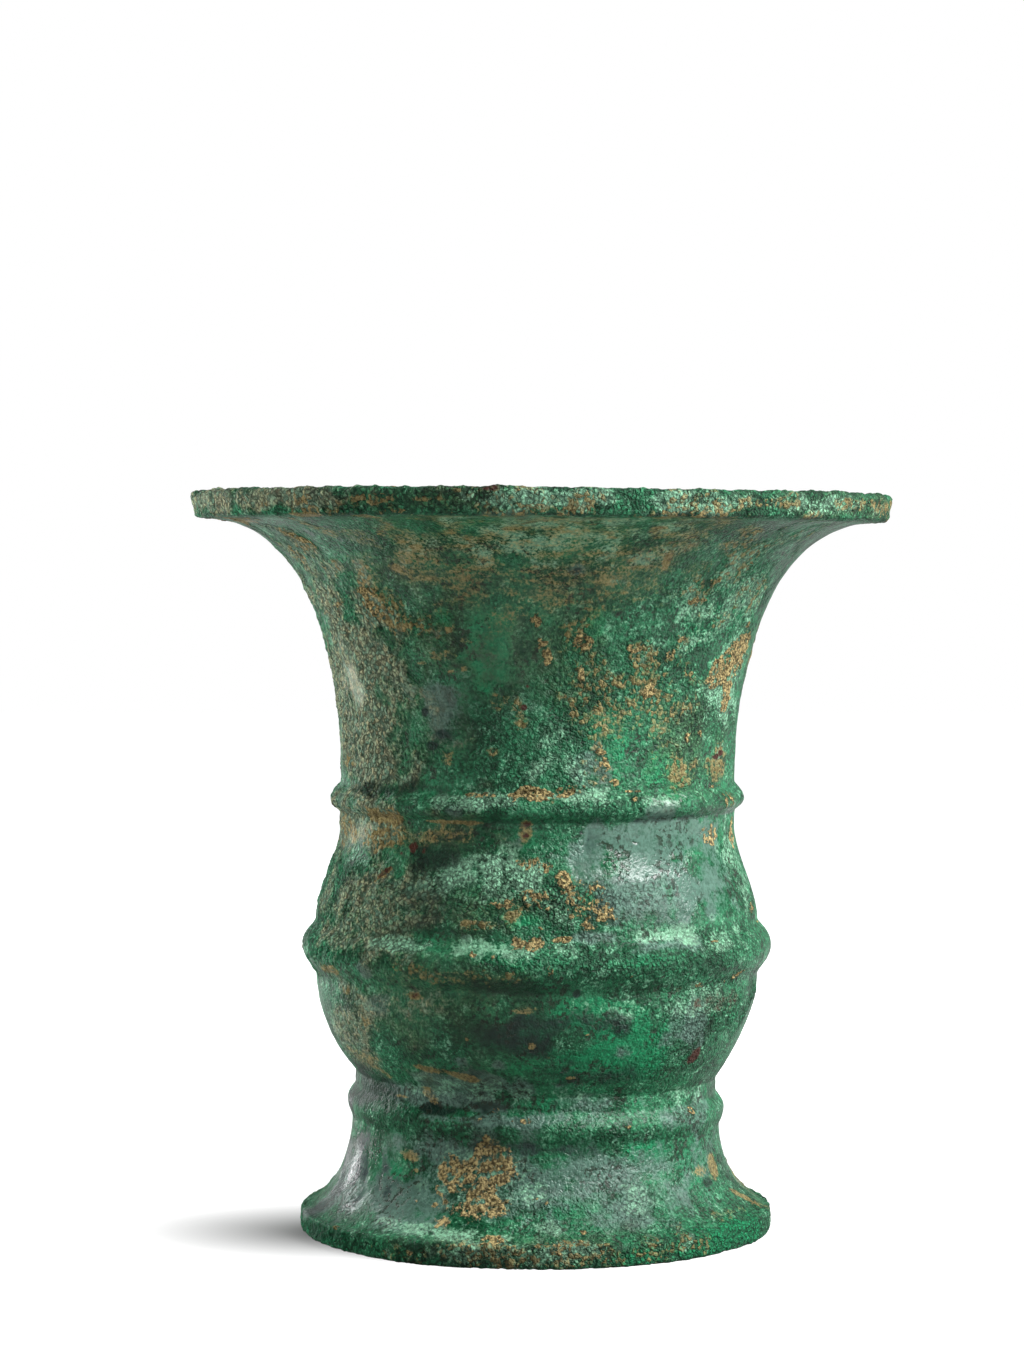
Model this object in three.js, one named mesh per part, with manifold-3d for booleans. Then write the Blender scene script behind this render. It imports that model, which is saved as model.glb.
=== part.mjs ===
// A bronze zun: a trumpet-mouthed wine vessel in three tiers, with a round belly and a splayed ring foot.
// It is built as the founder built it, from three castings that lap into each other under the raised ridges.
// The casting above each seam was poured over a spigot on the casting below and keyed through holes in it.
// Small bronze chaplets, which held the clay core off the mould, stay locked in the walls and the floor.
// Millimetres, +Z up, origin at the centre of the foot's resting face.
import * as THREE from "three";
import { mergeVertices } from "three/addons/utils/BufferGeometryUtils.js";
import Module from "manifold-3d";

// Heights of the three tiers, from seam to seam
const FOOT_HEIGHT = 35.5;
const BELLY_HEIGHT = 101.3;
const NECK_HEIGHT = 103.2;

// Outer radii of the wall
const MOUTH_RADIUS = 114;
const NECK_RADIUS = 64.2;
const BELLY_RADIUS = 72.2;
const WAIST_RADIUS = 59;
const FOOT_STEP = 1.1; // how much wider the foot's neck is than the waist above the lower ridge
const FOOT_OVERHANG = 0.3; // how far the foot's edge reaches beyond the middle ridge above it

// The three raised ridges: how far each stands out, and how far it reaches below and above its crest
const UPPER_RIDGE_RISE = 3.1;
const UPPER_RIDGE_BELOW = 4.2;
const UPPER_RIDGE_ABOVE = 5.6;
const MIDDLE_RIDGE_RISE = 4.5;
const MIDDLE_RIDGE_BELOW = 10;
const MIDDLE_RIDGE_ABOVE = 8.4;
const MIDDLE_RIDGE_HEIGHT = 58; // crest above the lower seam
const LOWER_RIDGE_RISE = 1.5;
const LOWER_RIDGE_BELOW = 5.5;
const LOWER_RIDGE_ABOVE = 5.5;

// Walls and edges
const WALL = 3.5;
const FLOOR_THICKNESS = 5;
const FLOOR_FILLET = 8;
const WAIST_STRAIGHT = 4.5; // upright stretch between the lower ridge and the belly
const GROOVE_STRAIGHT = 4.8; // upright stretch between the belly and the upper ridge
const LIP_THICKNESS = 8.2;
const LIP_UNDERCUT = 1.4; // how far the lip's lower edge lies inside its upper edge
const LIP_ROUND = 1.3;
const FOOT_EDGE_HEIGHT = 7.6;
const FOOT_EDGE_THICKNESS = 6;
const FOOT_EDGE_ROUND = 1.4;

// Cast-on joints and chaplets
const CLEARANCE = 0.3;
const LAP_HEIGHT = 7;
const KEY_DIAMETER = 3.6;
const KEYS_PER_JOINT = 6;
const CHAPLET_SIZE = 9;
const WALL_CHAPLETS = 6; // in each row of the neck and the belly
const FOOT_CHAPLETS = 4;
const FLOOR_CHAPLETS = 4;
const FLOOR_CHAPLET_RADIUS = 30;

// The vessel's own unevenness, as it came from its mould
const MOUTH_LEAN = 1.95; // how far the mouth's middle stands to +X of the foot's
const LEAN_BEND = 1.9; // 1 would be a straight lean; more of it lies in the neck
const RIM_DIP = 0.8; // how far the rim is below level at +X
const RIDGE_DIP = 1.5; // how far the lower ridge is below level at +X

// How full the curves are: each handle as a share of its stretch
const NECK_UPRIGHT = 0.27;
const MOUTH_SPREAD = 0.91;
const BELLY_FULLNESS = 0.5;
const SHOULDER_SOFTNESS = 0.26;
const FOOT_UPRIGHT = 0.15;
const FOOT_SPREAD = 0.9;
const FOOT_SWEEP = 0.24;
const RIDGE_ROUNDNESS = 0.5; // at its crest
const RIDGE_CRISPNESS = 0.25; // at the creases below and above it

// Facets
const SEGMENTS = 48;
const RIDGE_STEPS = 4;
const FLARE_STEPS = 9;
const CURVE_STEPS = 5;
const KEY_SIDES = 12;
const CORNER_STEPS = 2;
const SAME_POINT = 1e-4; // corners of a surface closer than this are one

// Heights that follow from the tiers
const lowerSeam = FOOT_HEIGHT;
const upperSeam = lowerSeam + BELLY_HEIGHT;
const top = upperSeam + NECK_HEIGHT;
const lowerRidge = lowerSeam + LOWER_RIDGE_BELOW;
const lowerRidgeTop = lowerRidge + LOWER_RIDGE_ABOVE;
const bellyBottom = lowerRidgeTop + WAIST_STRAIGHT;
const middleRidge = lowerSeam + MIDDLE_RIDGE_HEIGHT;
const middleRidgeBottom = middleRidge - MIDDLE_RIDGE_BELOW;
const middleRidgeTop = middleRidge + MIDDLE_RIDGE_ABOVE;
const bellyTop = upperSeam - GROOVE_STRAIGHT;
const upperRidge = upperSeam + UPPER_RIDGE_BELOW;
const flareBottom = upperRidge + UPPER_RIDGE_ABOVE;
const lipBottom = top - LIP_THICKNESS;
const floorBottom = lowerSeam + LAP_HEIGHT + 2 * CLEARANCE;
const floorTop = floorBottom + FLOOR_THICKNESS;

// Radii that follow from the walls and the joints
const footNeckRadius = WAIST_RADIUS + FOOT_STEP;
const footRadius = BELLY_RADIUS + MIDDLE_RIDGE_RISE + FOOT_OVERHANG;
const neckInside = NECK_RADIUS - WALL;
const bellyInside = BELLY_RADIUS - WALL;
const waistInside = WAIST_RADIUS - WALL;
const footInside = footNeckRadius - WALL;
const spigotThickness = (WALL - CLEARANCE) / 2;
const neckSocket = neckInside + spigotThickness + CLEARANCE;
const footSocket = footInside + spigotThickness + CLEARANCE;

const at = (radius, height) => new THREE.Vector2(radius, height);

// Cubic curve from one point of an outline to another, with its two handles given as points.
function curve(from, handleA, handleB, to, steps) {
  return new THREE.CubicBezierCurve(from, handleA, handleB, to).getPoints(steps);
}

// Stretch of wall that leaves and arrives upright, softly or crisply at each end.
function upright(from, to, softFrom, softTo, steps) {
  const rise = to.y - from.y;
  return curve(from, at(from.x, from.y + rise * softFrom), at(to.x, to.y - rise * softTo), to, steps);
}

// Shoulder between the middle ridge and the groove under the upper one.
function shoulder(from, to) {
  return upright(from, to, SHOULDER_SOFTNESS, SHOULDER_SOFTNESS, CURVE_STEPS);
}

// Rounded ridge between two stretches of wall, bottom to top.
function ridge(radiusBelow, radiusAbove, bottom, crestHeight, ridgeTop, rise) {
  const crest = at(Math.max(radiusBelow, radiusAbove) + rise, crestHeight);
  const lower = upright(at(radiusBelow, bottom), crest, RIDGE_CRISPNESS, RIDGE_ROUNDNESS, RIDGE_STEPS);
  const upper = upright(crest, at(radiusAbove, ridgeTop), RIDGE_ROUNDNESS, RIDGE_CRISPNESS, RIDGE_STEPS);
  return [...lower, ...upper];
}

// Trumpet flare from an upright neck to a level lip.
function flare(from, to, steps) {
  const rise = (to.y - from.y) * NECK_UPRIGHT;
  const reach = (to.x - from.x) * MOUTH_SPREAD;
  return curve(from, at(from.x, from.y + rise), at(to.x - reach, to.y), to, steps);
}

// Splay of the foot, from its edge up to its upright neck.
function splay(from, to, steps) {
  const rise = to.y - from.y;
  const reach = from.x - to.x;
  const low = at(from.x - reach * FOOT_SPREAD, from.y + rise * FOOT_SWEEP);
  return curve(from, low, at(to.x, to.y - rise * FOOT_UPRIGHT), to, steps);
}

// Lower half of the belly, from its waist out to its widest girth.
function bowl(from, to, steps) {
  const widen = at(to.x, to.y - (to.y - from.y) * BELLY_FULLNESS);
  return curve(from, from, widen, to, steps);
}

// Rounded corner of an outline: a quarter curve from one edge to the next.
function corner(from, tip, to) {
  return new THREE.QuadraticBezierCurve(from, tip, to).getPoints(CORNER_STEPS);
}

// Neck casting: ridge, flare, square lip, inner flare, and the socket that laps over the belly's spigot.
function neckOutline() {
  const bottom = upperSeam + CLEARANCE;
  const socketTop = upperSeam + LAP_HEIGHT + CLEARANCE;
  const lowerLip = at(MOUTH_RADIUS - LIP_UNDERCUT, lipBottom);
  const lowerLipIn = at(lowerLip.x - LIP_ROUND, lipBottom);
  const lowerLipUp = at(lowerLip.x, lipBottom + LIP_ROUND);
  const upperLipDown = at(MOUTH_RADIUS, top - LIP_ROUND);
  const upperLipIn = at(MOUTH_RADIUS - LIP_ROUND, top);
  return [
    ...ridge(NECK_RADIUS, NECK_RADIUS, bottom, upperRidge, flareBottom, UPPER_RIDGE_RISE),
    ...flare(at(NECK_RADIUS, flareBottom), lowerLipIn, FLARE_STEPS),
    ...corner(lowerLipIn, lowerLip, lowerLipUp),
    ...corner(upperLipDown, at(MOUTH_RADIUS, top), upperLipIn),
    ...flare(at(neckInside, flareBottom), upperLipIn, FLARE_STEPS).reverse(),
    at(neckInside, socketTop),
    at(neckSocket, socketTop),
    at(neckSocket, bottom),
  ];
}

// Inner face of the belly, from the floor's fillet up to the spigot.
function bellyInnerWall() {
  const wallFoot = at(waistInside, floorTop + FLOOR_FILLET);
  return [
    ...corner(at(waistInside - FLOOR_FILLET, floorTop), at(waistInside, floorTop), wallFoot),
    ...bowl(wallFoot, at(bellyInside, middleRidgeBottom), CURVE_STEPS),
    ...shoulder(at(bellyInside, middleRidgeTop), at(neckInside, bellyTop)),
  ];
}

// Belly casting: skirt and lower ridge, bowl, middle ridge, shoulder, spigot, inner wall and floor.
function bellyOutline() {
  const bottom = lowerSeam + CLEARANCE;
  const spigotTop = upperSeam + LAP_HEIGHT;
  const spigot = neckInside + spigotThickness;
  return [
    at(0, floorBottom),
    at(footSocket, floorBottom),
    at(footSocket, bottom),
    ...ridge(footNeckRadius, WAIST_RADIUS, bottom, lowerRidge, lowerRidgeTop, LOWER_RIDGE_RISE),
    ...bowl(at(WAIST_RADIUS, bellyBottom), at(BELLY_RADIUS, middleRidgeBottom), CURVE_STEPS),
    ...ridge(BELLY_RADIUS, BELLY_RADIUS, middleRidgeBottom, middleRidge, middleRidgeTop, MIDDLE_RIDGE_RISE),
    ...shoulder(at(BELLY_RADIUS, middleRidgeTop), at(NECK_RADIUS, bellyTop)),
    at(NECK_RADIUS, upperSeam),
    at(spigot, upperSeam),
    at(spigot, spigotTop),
    at(neckInside, spigotTop),
    ...bellyInnerWall().reverse(),
    at(0, floorTop),
  ];
}

// Foot casting: upright edge, splay, spigot, and an inner face that follows the splay.
function footOutline() {
  const spigotTop = lowerSeam + LAP_HEIGHT;
  const spigot = footInside + spigotThickness;
  const edgeTop = at(footRadius, FOOT_EDGE_HEIGHT);
  const edgeTopDown = at(footRadius, FOOT_EDGE_HEIGHT - FOOT_EDGE_ROUND);
  const edgeTopIn = at(footRadius - FOOT_EDGE_ROUND, FOOT_EDGE_HEIGHT);
  const insideFoot = at(footRadius - FOOT_EDGE_THICKNESS, 0);
  return [
    at(footRadius - FOOT_EDGE_ROUND, 0),
    at(footRadius, FOOT_EDGE_ROUND),
    ...corner(edgeTopDown, edgeTop, edgeTopIn),
    ...splay(edgeTopIn, at(footNeckRadius, lowerSeam), CURVE_STEPS),
    at(spigot, lowerSeam),
    at(spigot, spigotTop),
    at(footInside, spigotTop),
    ...splay(insideFoot, at(footInside, lowerSeam), CURVE_STEPS).reverse(),
  ];
}

const wasm = await Module();
wasm.setup();

// Closed geometry as a solid that can be joined and cut.
function solidOf(geometry) {
  const bare = geometry.clone();
  bare.deleteAttribute("normal");
  bare.deleteAttribute("uv");
  const merged = mergeVertices(bare, SAME_POINT);
  const corners = merged.index.array;
  const faces = [];
  for (let i = 0; i < corners.length; i += 3) {
    const [a, b, c] = corners.slice(i, i + 3);
    if (a !== b && b !== c && c !== a) faces.push(a, b, c);
  }
  const mesh = new wasm.Mesh({
    numProp: 3,
    vertProperties: merged.getAttribute("position").array,
    triVerts: new Uint32Array(faces),
  });
  return new wasm.Manifold(mesh);
}

// Solid back as geometry, with flat normals for display.
function geometryOf(solid) {
  const mesh = solid.getMesh();
  const indexed = new THREE.BufferGeometry();
  indexed.setAttribute("position", new THREE.BufferAttribute(mesh.vertProperties, 3));
  indexed.setIndex(new THREE.BufferAttribute(mesh.triVerts, 1));
  const geometry = indexed.toNonIndexed();
  geometry.computeVertexNormals();
  return geometry;
}

// Outline turned about the vessel's axis. A ring's outline is closed back to its first point.
function revolve(outline) {
  const onAxis = outline[0].x === 0;
  const points = onAxis ? outline : [...outline, outline[0].clone()];
  return solidOf(new THREE.LatheGeometry(points, SEGMENTS).rotateX(Math.PI / 2));
}

// Tool shape, drawn along +X, tilted with the wall, set out at a radius and height, and turned to its place.
function placed(geometry, radius, height, tilt, turn) {
  geometry.rotateY(tilt);
  geometry.translate(radius, 0, height);
  geometry.rotateZ(turn);
  return solidOf(geometry);
}

const turnOf = (index, count, start) => start + (index * 2 * Math.PI) / count;

// Round keys of a joint, reaching in from the socket's wall through the spigot.
function keys(inside, socket, seam, grow) {
  const solids = [];
  const length = socket - inside + CLEARANCE;
  const radius = KEY_DIAMETER / 2 + grow;
  for (let i = 0; i < KEYS_PER_JOINT; i++) {
    const pin = new THREE.CylinderGeometry(radius, radius, length, KEY_SIDES);
    pin.rotateZ(Math.PI / 2);
    solids.push(placed(pin, inside + length / 2, seam + LAP_HEIGHT / 2, 0, turnOf(i, KEYS_PER_JOINT, 0)));
  }
  return solids;
}

const join = (body, tools) => tools.reduce((made, tool) => made.add(tool), body);
const cut = (body, tools) => tools.reduce((made, tool) => made.subtract(tool), body);

const neckKeys = keys(neckInside, neckSocket, upperSeam, 0);
const neckKeyHoles = keys(neckInside - WALL, neckSocket, upperSeam, CLEARANCE);
const bellyKeys = keys(footInside, footSocket, lowerSeam, 0);
const footKeyHoles = keys(footInside - WALL, footSocket, lowerSeam, CLEARANCE);

const castings = {
  neck_casting: join(revolve(neckOutline()), neckKeys),
  belly_casting: join(cut(revolve(bellyOutline()), neckKeyHoles), bellyKeys),
  foot_casting: cut(revolve(footOutline()), footKeyHoles),
};

// Middle of a wall at a height, and its lean from upright, read off the two outlines that it lies between.
function wallAt(outer, inner, height) {
  const radiusAt = (points, z) => {
    const i = points.findIndex((p, n) => n > 0 && (points[n - 1].y - z) * (p.y - z) <= 0);
    const [a, b] = [points[i - 1], points[i]];
    return a.x + ((b.x - a.x) * (z - a.y)) / (b.y - a.y);
  };
  const step = CHAPLET_SIZE / 2;
  const middle = (z) => (radiusAt(outer, z) + radiusAt(inner, z)) / 2;
  const lean = Math.atan2(middle(height + step) - middle(height - step), 2 * step);
  return { radius: middle(height), height, lean };
}

// Rows of chaplets, each in plain wall halfway between two features, turned so that rows are staggered.
const halfway = (a, b) => (a + b) / 2;
const chapletRows = [
  {
    name: "foot_chaplet",
    casting: "foot_casting",
    count: FOOT_CHAPLETS,
    start: Math.PI / 4,
    wall: wallAt(
      splay(at(footRadius - FOOT_EDGE_ROUND, FOOT_EDGE_HEIGHT), at(footNeckRadius, lowerSeam), CURVE_STEPS),
      splay(at(footRadius - FOOT_EDGE_THICKNESS, 0), at(footInside, lowerSeam), CURVE_STEPS),
      halfway(FOOT_EDGE_HEIGHT, lowerSeam),
    ),
  },
  {
    name: "lower_belly_chaplet",
    casting: "belly_casting",
    count: WALL_CHAPLETS,
    start: Math.PI / 6,
    wall: wallAt(
      bowl(at(WAIST_RADIUS, bellyBottom), at(BELLY_RADIUS, middleRidgeBottom), CURVE_STEPS),
      bellyInnerWall(),
      halfway(bellyBottom, middleRidgeBottom),
    ),
  },
  {
    name: "upper_belly_chaplet",
    casting: "belly_casting",
    count: WALL_CHAPLETS,
    start: 0,
    wall: wallAt(
      shoulder(at(BELLY_RADIUS, middleRidgeTop), at(NECK_RADIUS, bellyTop)),
      bellyInnerWall(),
      halfway(middleRidgeTop, bellyTop),
    ),
  },
  {
    name: "neck_chaplet",
    casting: "neck_casting",
    count: WALL_CHAPLETS,
    start: Math.PI / 6,
    wall: wallAt(
      flare(at(NECK_RADIUS, flareBottom), at(MOUTH_RADIUS, lipBottom), FLARE_STEPS),
      flare(at(neckInside, flareBottom), at(MOUTH_RADIUS, top), FLARE_STEPS),
      flareBottom + 2 * CHAPLET_SIZE,
    ),
  },
  {
    name: "floor_chaplet",
    casting: "belly_casting",
    count: FLOOR_CHAPLETS,
    start: Math.PI / 4,
    wall: { radius: FLOOR_CHAPLET_RADIUS, height: halfway(floorBottom, floorTop), lean: Math.PI / 2 },
  },
];

// Square plug that goes right through a wall, grown all round its edges by a clearance.
function plug(row, index, grow) {
  const side = CHAPLET_SIZE + 2 * grow;
  const depth = 2 * CHAPLET_SIZE;
  const turn = turnOf(index, row.count, row.start);
  const { radius, height, lean } = row.wall;
  return placed(new THREE.BoxGeometry(depth, side, side), radius, height, lean, turn);
}

// Each chaplet is the wall's own metal inside its plug, so that it lies flush inside and outside.
const chaplets = {};
for (const row of chapletRows) {
  for (let i = 0; i < row.count; i++) {
    const whole = castings[row.casting];
    chaplets[`${row.name}_${i + 1}`] = whole.intersect(plug(row, i, 0));
    castings[row.casting] = whole.subtract(plug(row, i, CLEARANCE));
  }
}

// Corner of a solid, moved to where the uneven vessel has it. The foot's edge and the belly stay level.
function settle(corner) {
  const [x, , z] = corner;
  const { smoothstep } = THREE.MathUtils;
  const rim = smoothstep(z, flareBottom, lipBottom);
  const bellyMiddle = halfway(bellyBottom, middleRidgeBottom);
  const aboveEdge = smoothstep(z, FOOT_EDGE_HEIGHT, lowerSeam);
  const aboveRidge = smoothstep(z, lowerRidgeTop, bellyMiddle);
  const ridgeShare = aboveEdge * (1 - aboveRidge);
  const dip = (RIM_DIP / MOUTH_RADIUS) * rim + (RIDGE_DIP / footNeckRadius) * ridgeShare;
  corner[0] = x + MOUTH_LEAN * Math.max(z / top, 0) ** LEAN_BEND;
  corner[2] = z - x * dip;
}

const patina = () => new THREE.MeshStandardMaterial({ color: 0x3c7a5c, roughness: 0.55, metalness: 0.25 });
const brownBronze = () => new THREE.MeshStandardMaterial({ color: 0x6e5a36, roughness: 0.6, metalness: 0.4 });

const zun = new THREE.Group();
zun.name = "bronze_zun";

function addMesh(name, solid, material) {
  const mesh = new THREE.Mesh(geometryOf(solid.warp(settle)), material);
  mesh.name = name;
  zun.add(mesh);
}

for (const [name, solid] of Object.entries(castings)) addMesh(name, solid, patina());
for (const [name, solid] of Object.entries(chaplets)) addMesh(name, solid, brownBronze());

export default zun;
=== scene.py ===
"""A corroded bronze zun, dressed around its three castings and its chaplets.

Sizes are in millimetres until a mesh is made. Angles are in degrees round the vessel's axis:
0 faces the camera (-Y), and positive angles go to the camera's right (+X).
"""
import itertools
import math
from collections import namedtuple
from concurrent.futures import ThreadPoolExecutor

import bpy
import numpy as np
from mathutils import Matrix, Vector


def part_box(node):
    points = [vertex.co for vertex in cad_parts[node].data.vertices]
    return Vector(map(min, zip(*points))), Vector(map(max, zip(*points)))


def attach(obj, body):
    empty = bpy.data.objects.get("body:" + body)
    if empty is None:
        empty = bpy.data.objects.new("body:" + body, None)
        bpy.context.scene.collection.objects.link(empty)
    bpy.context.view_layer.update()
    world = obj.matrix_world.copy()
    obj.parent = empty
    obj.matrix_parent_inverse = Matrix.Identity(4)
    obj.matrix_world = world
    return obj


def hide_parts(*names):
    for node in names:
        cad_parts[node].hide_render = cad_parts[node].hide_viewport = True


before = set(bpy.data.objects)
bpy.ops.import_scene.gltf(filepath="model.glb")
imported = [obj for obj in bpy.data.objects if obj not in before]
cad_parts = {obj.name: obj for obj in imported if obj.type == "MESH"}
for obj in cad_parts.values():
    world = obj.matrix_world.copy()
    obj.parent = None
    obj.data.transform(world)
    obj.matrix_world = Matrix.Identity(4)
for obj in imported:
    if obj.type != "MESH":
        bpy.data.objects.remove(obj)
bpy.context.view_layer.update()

MM = 0.001

# Sizes of the castings, as in the CAD
LOWER_SEAM = 35.5
UPPER_SEAM = 136.8
HEIGHT = 240.0
MOUTH_RADIUS = 114.0
NECK_RADIUS = 64.2
BELLY_RADIUS = 72.2
WAIST_RADIUS = 59.0
FOOT_NECK_RADIUS = 60.1
FOOT_RADIUS = 77.0
UPPER_CREST = (67.3, 141.0)
MIDDLE_CREST = (76.7, 93.5)
LOWER_CREST = (61.6, 41.0)
FLARE_BOTTOM = 146.6
BELLY_TOP = 132.0
MIDDLE_RIDGE_TOP = 101.9
MIDDLE_RIDGE_BOTTOM = 83.5
BELLY_BOTTOM = 51.0
LOWER_RIDGE_TOP = 46.5
LIP_THICKNESS = 8.2
LIP_UNDERCUT = 1.4
EDGE_ROUND = 1.4
FOOT_EDGE = 7.6
FOOT_EDGE_THICKNESS = 6.0
WALL = 3.5
FLOOR_TOP = 48.1
FLOOR_BOTTOM = 43.1
FLOOR_FILLET = 8.0
LAP = 7.0
CLEARANCE = 0.3
MOUTH_LEAN = 1.95
LEAN_BEND = 1.9
RIM_DIP = 0.8
RIDGE_DIP = 1.5

# How full the curves are, as in the CAD: each handle as a share of its stretch
NECK_UPRIGHT = 0.27
MOUTH_SPREAD = 0.91
BELLY_FULLNESS = 0.5
SHOULDER_SOFTNESS = 0.26
FOOT_UPRIGHT = 0.15
FOOT_SPREAD = 0.9
FOOT_SWEEP = 0.24
RIDGE_ROUNDNESS = 0.5
RIDGE_CRISPNESS = 0.25

# Chaplets: their side, how far they stand proud inside and end under the skin outside, how far the proud
# face's edge is worn down and its corners are drawn in, and the mesh points along a side
CHAPLET = 9.0
CHAPLET_PROUD = 0.4
CHAPLET_COVER = 1.0
CHAPLET_WEAR = 0.3
CHAPLET_ROUNDING = 0.1
CHAPLET_POINTS = 15

# Steps of the curves, a quarter circle's handle, and the inner flare's steps that go with the lip
CURVE_STEPS = 60
FLARE_STEPS = 160
CORNER_STEPS = 8
QUARTER_ROUND = 0.55
LIP_STEPS = 40

# Mesh
FINE = 0.5  # spacing on the outer faces
COARSE = 1.0  # spacing on the inner faces
SEGMENTS = 960  # vertices in an outer ring
FEWEST = 30  # vertices in the smallest inner ring
HALVING_RADIUS = 40.0  # inner rings smaller than this are thinned out
AXIS = 0.01  # a ring smaller than this is one vertex
SAME_POINT = 1e-6
CORNER = math.radians(30)  # a bend that is kept when an outline is resampled
SHARP = math.radians(60)  # a bend that is shaded as an edge
INDOOR_ROWS = 8  # rows past the lip's top in which the outside fades out
STRETCH = 40000  # points that are weathered together

# How far from a lap, and in from the waist on the floor, the inside is still clean and fully worn
LAP_MARGIN = (1, 4)
FLOOR_MARGIN = (6, 12)

# Where placed corrosion gives way to clouds of it, and how far that border wanders
FRONT_EDGE = (math.radians(110), math.radians(90))
FRONT_WANDER = math.radians(24)

# Shares of a patch's half size at which it has faded out, is full, and is left out
PATCH_EDGE = (1.6, 0.4)
PATCH_LIMIT = 2

# Share of their spacing at which grains end, and the mm within which the lip's crust begins
GRAIN_REACH = 0.8
LIP_BLEND = 1

# Camera in metres and degrees
CAMERA_PLACE = (0, -1.176, 0.218)
CAMERA_DIP = 1.92
CAMERA_LENS = 94.73
PHOTO_HEIGHT = 1365
CAMERA_SHIFT = -23.5 / PHOTO_HEIGHT

# Softboxes: degrees round to the right and up, metres away, width and height in metres, and watts
KEY = ((66, 37), 1.2, (0.8, 0.5), 28.6)
SIDE = ((-105, 10), 1.2, (0.3, 0.8), 18.5)
STRIP = ((-136, 18), 1.0, (0.06, 1.0), 2.8)

# Room: its light, what reflections see in front and behind and where one turns into the other, and the
# floor with the shade that lies beside the foot, in metres
AMBIENT = 0.035
DIM_ROOM = 0.04
BACKDROP = 0.3
BACKDROP_EDGE = (-0.2, 0.5)
FLOOR_SIZE = 8.0
FLOOR_MIRRORED = 0.15
# the floor is darker near the vessel: painted shade round the foot, which also throws less light back onto
# the vessel
FLOOR_TONES = (0.22, 0.8)
FLOOR_TONE_REACH = (0.2, 0.4)
SHADE_PLACE = (-0.05, -0.012, 0)
SHADE_SHAPE = (1, 1.5, 1)
SHADE_REACH = (0.02, 0.085)

Ring = namedtuple("Ring", "first count along")


def line(*points):
    """Straight stretches of an outline, from point to point."""
    return np.array(points, float)


def cubic(a, b, c, d, steps=CURVE_STEPS):
    """Points of a cubic curve with end points a and d and handles b and c."""
    t = np.linspace(0, 1, steps + 1)[:, None]
    a, b, c, d = (np.array(p, float) for p in (a, b, c, d))
    return (1 - t) ** 3 * a + 3 * (1 - t) ** 2 * t * b + 3 * (1 - t) * t**2 * c + t**3 * d


def upright(a, b, soft_a, soft_b):
    """Stretch of wall that leaves a and reaches b upright, softly or crisply at each end."""
    rise = b[1] - a[1]
    return cubic(a, (a[0], a[1] + rise * soft_a), (b[0], b[1] - rise * soft_b), b)


def ridge(below, crest, above):
    """Rounded ridge with crisp creases at its foot and its head."""
    lower = upright(below, crest, RIDGE_CRISPNESS, RIDGE_ROUNDNESS)
    upper = upright(crest, above, RIDGE_ROUNDNESS, RIDGE_CRISPNESS)
    return np.vstack([lower, upper])


def shoulder(a, b):
    """Upper half of the belly, from its girth a in to the groove b."""
    return upright(a, b, SHOULDER_SOFTNESS, SHOULDER_SOFTNESS)


def flare(a, b):
    """Trumpet flare from an upright neck to a level lip."""
    rise, reach = b[1] - a[1], b[0] - a[0]
    low = (a[0], a[1] + NECK_UPRIGHT * rise)
    return cubic(a, low, (b[0] - MOUTH_SPREAD * reach, b[1]), b, FLARE_STEPS)


def splay(a, b):
    """Splay of the foot, from its edge a up to its upright neck b."""
    rise, reach = b[1] - a[1], a[0] - b[0]
    low = (a[0] - FOOT_SPREAD * reach, a[1] + FOOT_SWEEP * rise)
    return cubic(a, low, (b[0], b[1] - FOOT_UPRIGHT * rise), b)


def bowl(a, b):
    """Lower half of the belly, from its waist a out to its girth b."""
    return cubic(a, a, (b[0], b[1] - BELLY_FULLNESS * (b[1] - a[1])), b)


def rounded(a, tip, b):
    """Quarter-round corner."""
    a, tip, b = (np.array(p, float) for p in (a, tip, b))
    return cubic(a, a + (tip - a) * QUARTER_ROUND, b + (tip - b) * QUARTER_ROUND, b, CORNER_STEPS)


def neck_outline():
    """Outer face from the upper seam to the lip's top, then the inner face back down to the seam."""
    inside = NECK_RADIUS - WALL
    socket = inside + (WALL + CLEARANCE) / 2
    lip_bottom = HEIGHT - LIP_THICKNESS
    lower = (MOUTH_RADIUS - LIP_UNDERCUT, lip_bottom)
    lip_in = (lower[0] - EDGE_ROUND, lip_bottom)
    top_in = (MOUTH_RADIUS - EDGE_ROUND, HEIGHT)
    lap_top = UPPER_SEAM + LAP + CLEARANCE
    inner_flare = flare((inside, FLARE_BOTTOM), top_in)[::-1]
    outer = np.vstack([
        ridge((NECK_RADIUS, UPPER_SEAM), UPPER_CREST, (NECK_RADIUS, FLARE_BOTTOM)),
        flare((NECK_RADIUS, FLARE_BOTTOM), lip_in),
        rounded(lip_in, lower, (lower[0], lip_bottom + EDGE_ROUND)),
        rounded((MOUTH_RADIUS, HEIGHT - EDGE_ROUND), (MOUTH_RADIUS, HEIGHT), top_in),
        inner_flare[:LIP_STEPS],
    ])
    inner = np.vstack([
        inner_flare[LIP_STEPS - 1 :],
        line((inside, lap_top), (socket, lap_top), (socket, UPPER_SEAM)),
    ])
    return outer, inner


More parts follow.
